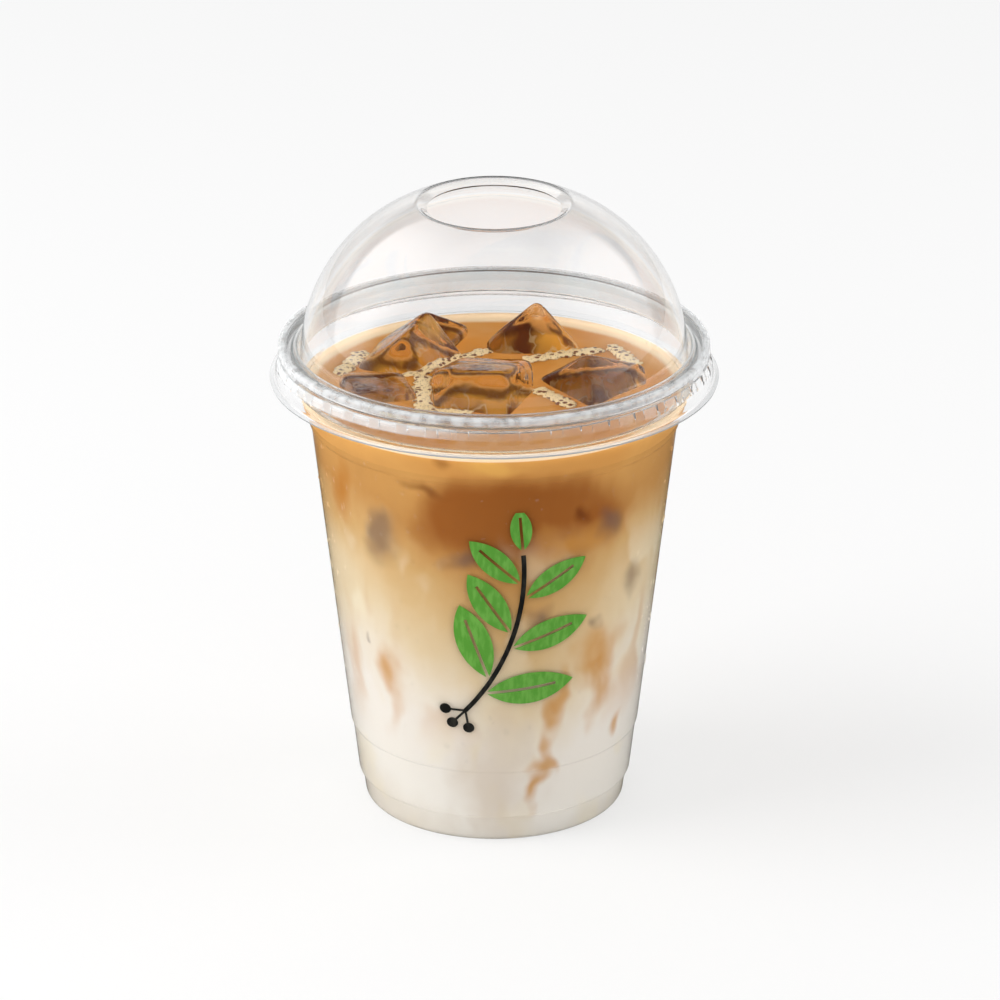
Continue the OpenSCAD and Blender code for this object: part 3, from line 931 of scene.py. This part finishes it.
@dataclass
class Ice:
    """The ice blocks at the drink's surface, each a cube with melted edges and corners."""

    fill_r: float
    fill_z: float
    blocks_across: float = 4.8
    edge_melt: float = 0.7
    corner_melt: float = 0.3
    sharpness: float = 22.0
    blocks: tuple[Block, ...] = (
        Block("ice_left", 141, 1.03, -0.06, 0.97, (8, 51, -15)),
        Block("ice_back_left", 115, 0.523, -0.15, 0.92 * 0.777, (6, 11, -22)),
        Block("ice_back_right", 72, 0.736, -0.196, 0.97, (-51, 36, -36)),
        Block("ice_middle", 250, 2.0, -0.1, 1.1, (-10, -6, -20)),
        Block("ice_right", 360, 1.1, -0.32, 1.12, (-25, -35, -41)),
        Block("ice_front_left", 186, 0.877, -0.31, 0.91, (-1, 5, 15)),
        Block("ice_front", 271, 0.644, -0.533, 0.89, (4, 3, 4)),
    )

    @property
    def side(self) -> float:
        """Side of a large block, in mm."""
        return 2 * self.fill_r / self.blocks_across

    def directions(self, steps: int) -> tuple[np.ndarray, np.ndarray]:
        """Directions over a sphere and the quads between them.

        Formula: a grid on each face of a cube, at tan(u) and tan(v) for equal angles u and v, made
        unit vectors.
        """
        u = np.tan(np.linspace(-math.pi / 4, math.pi / 4, steps + 1))
        a, b = np.meshgrid(u, u, indexing="ij")
        faces, sides = [], []
        for k, (axis, sign) in enumerate([(axis, sign) for axis in range(3) for sign in (1, -1)]):
            cube = np.empty((*a.shape, 3))
            cube[..., axis] = sign
            cube[..., (axis + 1) % 3], cube[..., (axis + 2) % 3] = a, sign * b
            sides.append(unit(cube).reshape(-1, 3))
            faces.append(grid_faces(steps + 1, steps + 1, close_columns=False) + k * (steps + 1) ** 2)
        return np.concatenate(sides), np.concatenate(faces)

    def block_points(self, block: Block, steps: int, shrink: float = 0.0) -> tuple[np.ndarray, np.ndarray]:
        """The surface of one melted block.

        Formula: along each direction d the radius is (sum (n.d / h)^p + 1 / reach^p)^(-1/p) over
        the planes of the cube and of its cut-back edges, which rounds where they meet, less a few
        slow waves where the face has melted.

        Args:
            block: which block.
            steps: grid steps along a side.
            shrink: how much smaller, in mm.

        Returns:
            Points in mm and quads.
        """
        way, faces = self.directions(steps)
        side = block.side * self.side
        planes = np.array([[1, 0, 0], [0, 1, 0], [0, 0, 1], [0, 1, 1], [0, 1, -1], [1, 0, 1], [1, 0, -1],
                           [1, 1, 0], [1, -1, 0]], float)
        far = np.array([side / 2] * 3 + [side / math.sqrt(2) - self.edge_melt] * 6)
        reach = side * math.sqrt(3) / 2 - self.corner_melt
        near = np.abs(way @ unit(planes).T) / far
        radius = ((near**self.sharpness).sum(-1) + reach**-self.sharpness) ** (-1 / self.sharpness)
        rng = np.random.default_rng(sum(map(ord, block.name)))
        waves = rng.normal(size=(7, 3)) * 3.1
        melt = np.sin(way @ waves.T + rng.uniform(0, 6.28, 7)).mean(-1) * 0.5 + 0.5
        radius = radius - 0.7 * melt - shrink
        turn = np.array(Euler([math.radians(t) for t in block.turn], "XYZ").to_matrix())
        middle = polar(self.fill_r - block.inset * self.side, block.bearing,
                       self.fill_z + block.rise * self.side)
        return (way * radius[:, None]) @ turn.T + middle, faces

    def build(self) -> None:
        """Makes each block, of clear ice."""
        material = ClearFinish("ice", ior=1.33, colour=(1.0, 0.97, 0.93, 1), shade=(0.98, 0.95, 0.9, 1),
                               wave_scale=150.0, wave_depth=0.6,
                               grain_scale=380.0, grain_share=0.25).build()
        for block in self.blocks:
            points, faces = self.block_points(block, 30)
            piece = Piece(f"{block.name}_block", Body.CUP, Slot.ICE, (block.name,))
            piece.make(points, faces, material, 50)
        for name, node in frame["nodes"].items():
            if name.startswith("ice_sunk"):
                coat(node.data, material)


# The drink and its froth


@dataclass
class Drink:
    """The drink, which wets the cup's wall and climbs it a little, with hollows round the ice."""

    cup: Cup
    ice: Ice
    wetting: float = 0.12
    climb: float = 0.9
    climb_w: float = 0.8
    rings: int = 96

    def build(self) -> None:
        """Turns the cup's inside and the liquid's surface round the axis, then cuts the ice out.

        Formula of the surface: fill height + climb * exp(-distance to the wall / width) + two
        slow crossed waves.
        """
        cup, fill_z = self.cup, self.ice.fill_z
        inside = beside(cup.outside(), cup.wall - self.wetting)
        side = inside[inside[:, 1] < fill_z]
        side[:, 0] = np.maximum(side[:, 0], 0)
        edge_r = np.interp(fill_z + self.climb, inside[-8:, 1], inside[-8:, 0])
        radius = edge_r * (1 - np.linspace(0, 1, self.rings) ** 1.25)
        angles = round_angles(cup.columns)
        wall = turned(side, angles)
        top = turned(np.stack([radius, np.full_like(radius, fill_z)], -1), angles)
        x, y = top[..., 0], top[..., 1]
        inward = edge_r - np.hypot(x, y)
        fade = np.clip(inward / 4, 0, 1)
        top[..., 2] += self.climb * np.exp(-inward / self.climb_w)
        top[..., 2] += 0.1 * fade * (np.sin(0.31 * x + 0.12 * y) + np.sin(0.17 * x - 0.38 * y + 1.7))
        points = np.concatenate([wall, top])
        body = Piece("drink_body", Body.CUP, Slot.DRINK, ("drink",))
        obj = body.make(points, grid_faces(*points.shape[:2]), DrinkFinish().build())
        self.hollow(obj)

    def hollow(self, obj: bpy.types.Object) -> None:
        """Cuts the ice blocks out of the drink, each a touch smaller so that the drink wets it."""
        moulds, quads = zip(*(self.ice.block_points(block, 16, shrink=0.14) for block in self.ice.blocks))
        faces = np.concatenate([quad + i * len(moulds[0]) for i, quad in enumerate(quads)])
        mould = placed("ice_moulds", shell_mesh("ice_moulds", np.concatenate(moulds), faces))
        cut = obj.modifiers.new("hollow", "BOOLEAN")
        cut.operation, cut.solver, cut.object = "DIFFERENCE", "EXACT", mould
        shaped = bpy.data.meshes.new_from_object(obj.evaluated_get(bpy.context.evaluated_depsgraph_get()))
        obj.modifiers.clear()
        obj.data = shaped
        shaped.shade_smooth()
        shaped.set_sharp_from_angle(angle=math.radians(45))
        bpy.data.objects.remove(mould)
        LOG.info("drink_body: %d faces after the hollows", len(shaped.polygons))


@dataclass
class Froth:
    """Froth in strands on the drink, in the gaps between the ice blocks."""

    ice: Ice
    thickness: float = 0.4
    lobe_r: float = 1.75
    pitch: float = 0.33
    strands: tuple = (
        ((159, 1.23), (97, 1.17)), ((162, 1.42), (222, 1.21)), ((225, 1.2), (248, 1.43)),
        ((64, 1.33), (44, 0.58)), ((346, 1.78), (327, 1.28)), ((147, 0.32), (166, 0.35)),
        ((24, 0.42), (41, 0.32)))

    def build(self) -> None:
        """A low sheet over the strands.

        Formula: height = thickness * sqrt(1 - (d / w)^2), with d the distance to the nearest
        strand and w the lobe's radius, made uneven by waves. The grid keeps the quads where w > d.
        """
        reach = self.ice.fill_r
        axis = np.arange(-reach, reach, self.pitch)
        x, y = np.meshgrid(axis, axis, indexing="ij")
        spot = np.stack([x, y], -1)
        nearest = np.full(x.shape, 99.0)
        for strand in self.strands:
            p, q = (polar(reach - inset * self.ice.side, bearing, 0)[:2] for bearing, inset in strand)
            share = np.clip(((spot - p) @ (q - p)) / ((q - p) @ (q - p)), 0, 1)
            nearest = np.minimum(nearest, np.linalg.norm(spot - p - share[..., None] * (q - p), axis=-1))
        waves = np.sin(1.9 * x + 0.7 * y) + np.sin(-0.8 * x + 2.3 * y + 1) + np.sin(3.1 * x - 2.2 * y + 2)
        width = self.lobe_r * (1 + 0.42 * (waves / 3))
        inside = (nearest < width) & (np.hypot(x, y) < reach - 0.3)
        lift = np.sqrt(np.clip(1 - (nearest / width) ** 2, 0, 1)) * self.thickness
        height = self.ice.fill_z - 0.1 + np.where(inside, lift, 0)
        points = np.stack([x, y, height], -1)
        quads = grid_faces(*x.shape, close_columns=False)
        quads = quads[inside.ravel()[quads].any(-1)]
        used, faces = np.unique(quads, return_inverse=True)
        froth = Piece("froth_strands", Body.CUP, Slot.FROTH, ("froth",))
        obj = froth.make(points.reshape(-1, 3)[used], faces.reshape(-1, 4), FrothFinish().build(),
                         60, False)
        shell = obj.modifiers.new("skin", "SOLIDIFY")
        shell.thickness, shell.offset = 0.15 * MM, -1.0


# Condensation and print


@dataclass
class Condensation:
    """Fine water drops on the outside of the cup's wall."""

    cup: Cup
    count: int = 900
    lowest: float = 8.0
    highest: float = 103.0
    smallest: float = 0.14
    spread: float = 0.45
    largest: float = 0.7
    ledge_gap: float = 0.9
    sunk: float = 0.02
    sides: int = 9
    seed: int = 11

    def build(self) -> None:
        """Places a small cap of water at each spot.

        Formula of a drop: rings of radius sin(t) and height cos(t) * flatness for t from 0 to 90
        degrees over a flat base, stretched down the wall, in the wall's own directions.
        """
        rng = np.random.default_rng(self.seed)
        cup, n = self.cup, self.count
        z = self.highest - (self.highest - self.lowest) * rng.beta(1.0, 1.5, n)
        bearing = rng.uniform(0, 2 * np.pi, n)
        size = np.minimum(self.smallest * np.exp(np.abs(rng.normal(0, self.spread, n)) * 1.6), self.largest)
        above = z[:, None] - np.array([ledge_z + cup.ledge_h / 2 for ledge_z, _ in cup.ledges])
        keep = np.abs(above).min(-1) > self.ledge_gap
        widths = np.cumsum([0] + [width for _, width in cup.ledges])
        radius = cup.foot_r + cup.draft * z + widths[(above > 0).sum(-1)] - self.sunk
        out = unit(np.stack([np.cos(bearing), np.sin(bearing), np.full(n, -cup.draft)], -1))
        across = np.stack([-np.sin(bearing), np.cos(bearing), np.zeros(n)], -1)
        down = np.cross(out, across)
        centre = np.stack([radius * np.cos(bearing), radius * np.sin(bearing), z], -1)
        t = np.radians([0, 38, 66, 90, 90])
        ring = np.sin(t) * np.array([1, 1, 1, 1, 0])
        turn = round_angles(self.sides)
        shape = np.stack([np.outer(ring, np.cos(turn)), np.outer(ring, np.sin(turn)),
                          np.outer(np.cos(t), np.ones(self.sides))], -1).reshape(-1, 3)
        long = size * rng.uniform(0.9, 1.7, n)
        scale = np.stack([size, long, size * rng.uniform(0.28, 0.45, n)], -1)
        local = shape[None] * scale[:, None]
        points = (centre[:, None] + local[..., :1] * across[:, None] + local[..., 1:2] * down[:, None]
                  + local[..., 2:] * out[:, None])[keep]
        faces = grid_faces(len(t), self.sides) + (np.arange(len(points)) * len(shape))[:, None, None]
        water = ClearFinish("water_drops", ior=1.33, shade=(0.97, 0.97, 0.97, 1))
        Piece("condensation", Body.CUP, Slot.CUP_PLASTIC).make(
            points, faces.reshape(-1, 4), water.build(), 60)


@dataclass
class Print:
    """The printed leaf sprig, in two inks."""

    green: InkFinish = InkFinish("green_ink", (88, 164, 44), (112, 182, 66))
    black: InkFinish = InkFinish("black_ink", (24, 24, 20), (52, 50, 44))

    def build(self) -> None:
        """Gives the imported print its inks."""
        for name, finish in (("print_leaves", self.green), ("print_stem", self.black)):
            coat(frame["nodes"][name].data, finish.build())
            LOG.info("%s: inked", name)


# The studio


@dataclass(frozen=True)
class Softbox:
    """A soft lamp that faces the cup."""

    name: str
    place: Triple
    size: tuple[float, float]
    brightness: float
    roll: float = 0.0
    aim: Triple = (0.0, 0.0, 0.09)

    def build(self) -> None:
        """Makes the lamp. Its power is its brightness times pi times its area."""
        lamp = bpy.data.lights.new(self.name, "AREA")
        lamp.shape = "RECTANGLE"
        lamp.size, lamp.size_y = self.size
        lamp.energy = self.brightness * math.pi * self.size[0] * self.size[1]
        obj = placed(self.name, lamp)
        obj.visible_glossy = obj.visible_transmission = False
        way = Vector(self.aim) - Vector(self.place)
        turn = way.to_track_quat("-Z", "Y").to_matrix().to_4x4()
        obj.matrix_world = turn @ Euler((0, 0, math.radians(self.roll))).to_matrix().to_4x4()
        obj.location = self.place


@dataclass
class Studio:
    """Camera, floor, lamps and the light around them."""

    pitch: float = 22.9
    distance: float = 1.2942
    aim: Triple = (0.00133, 0.0, 0.07323)
    lens: float = 199.8
    fill: float = 0.68
    dim: float = 0.06
    overhead: float = 0.5
    left_patch: float = 1.6
    right_patch: float = 1.5
    back_wall: float = 0.8
    lamps: tuple[Softbox, ...] = (
        Softbox("key_left", (-0.98, -0.2, 0.82), (0.9, 1.1), 3.4, 15.0),
        Softbox("fill_right", (1.05, 0.1, 0.65), (0.7, 1.0), 1.6, -10.0),
    )

    def camera(self) -> None:
        """The camera at the photograph's angle, by its pitch below the horizon and its distance."""
        data = bpy.data.cameras.new("camera")
        data.lens, data.sensor_width = self.lens, 36.0
        data.clip_start, data.clip_end = 0.05, 20.0
        camera = placed("camera", data)
        pitch = math.radians(self.pitch)
        x, y, z = self.aim
        camera.location = (x, y - self.distance * math.cos(pitch), z + self.distance * math.sin(pitch))
        camera.rotation_euler = (math.pi / 2 - pitch, 0, 0)
        bpy.context.scene.camera = camera

    def floor(self) -> None:
        """A pale floor under the cup."""
        corners = np.array([[-4, -4, 0], [4, -4, 0], [4, 4, 0], [-4, 4, 0]], float)
        mesh = bpy.data.meshes.new("floor")
        mesh.from_pydata(corners.tolist(), [], [(0, 1, 2, 3)])
        mesh.materials.append(FloorFinish().build())
        placed("floor", mesh)

    def surroundings(self) -> None:
        """A white room, plain for what it lights, and with darker walls where plastic mirrors it."""
        world = bpy.data.worlds.new("studio")
        world.use_nodes = True
        bpy.context.scene.world = world
        sheet = ShaderSheet(world.node_tree)
        split = sheet.add("ShaderNodeSeparateXYZ", {},
                          {"Vector": sheet.add("ShaderNodeTexCoord", {}, {}, "Generated")})
        x, y, z = (Wire(sheet, split.socket.node.outputs[i]) for i in range(3))
        left = (z * 0.699 - x * 0.275 - y * 0.66).rise(-0.02, 0.05) * x.rise(-0.1, -0.62)
        left = left * y.rise(-0.3, 0.1) * self.left_patch
        right = (z * 0.6 + x * 0.3 - y * 0.6).rise(-0.02, 0.12) * x.rise(0.25, 0.7)
        right = right * y.rise(-0.7, 0.1) * self.right_patch
        low = z.rise(0.36, 0.2)
        back = y.rise(0.3, 0.75) * low * x.near(0, 0.8) * self.back_wall
        mirrored = z.rise(0.88, 0.98) * self.overhead + self.dim + left + right + back
        camera, through, glossy = sheet.rays("Is Camera Ray", "Is Transmission Ray", "Is Glossy Ray")
        clear = camera.at_least(through * y.rise(-0.1, 0.4) * low)
        inner = through.at_least(glossy)
        strength = (inner * mirrored + (1 - inner) * self.fill) * (1 - clear) + clear
        sky = sheet.add("ShaderNodeBackground", {}, {"Color": WHITE, "Strength": strength})
        sheet.add("ShaderNodeOutputWorld", {}, {"Surface": sky})

    def build(self) -> None:
        """Sets up the studio."""
        scene = bpy.context.scene
        scene.view_settings.view_transform = "Standard"
        scene.cycles.max_bounces = 8
        scene.cycles.diffuse_bounces = 2
        scene.cycles.transmission_bounces = 8
        scene.cycles.caustics_reflective = scene.cycles.caustics_refractive = False
        self.camera()
        self.floor()
        self.surroundings()
        for lamp in self.lamps:
            lamp.build()


def main() -> None:
    """Builds the studio and each part of the cup, in order."""
    logging.basicConfig(level=logging.INFO, format="%(name)s %(message)s")
    Studio().build()
    cup = Cup()
    cup.build()
    Lid(cup).build()
    fill_z = cup.height - HEADSPACE
    ice = Ice(fill_r=cup.wall_r(fill_z, 3) - cup.wall - ICE_GAP, fill_z=fill_z)
    ice.build()
    Drink(cup, ice).build()
    Froth(ice).build()
    Condensation(cup).build()
    Print().build()


if __name__ == "__main__":
    main()
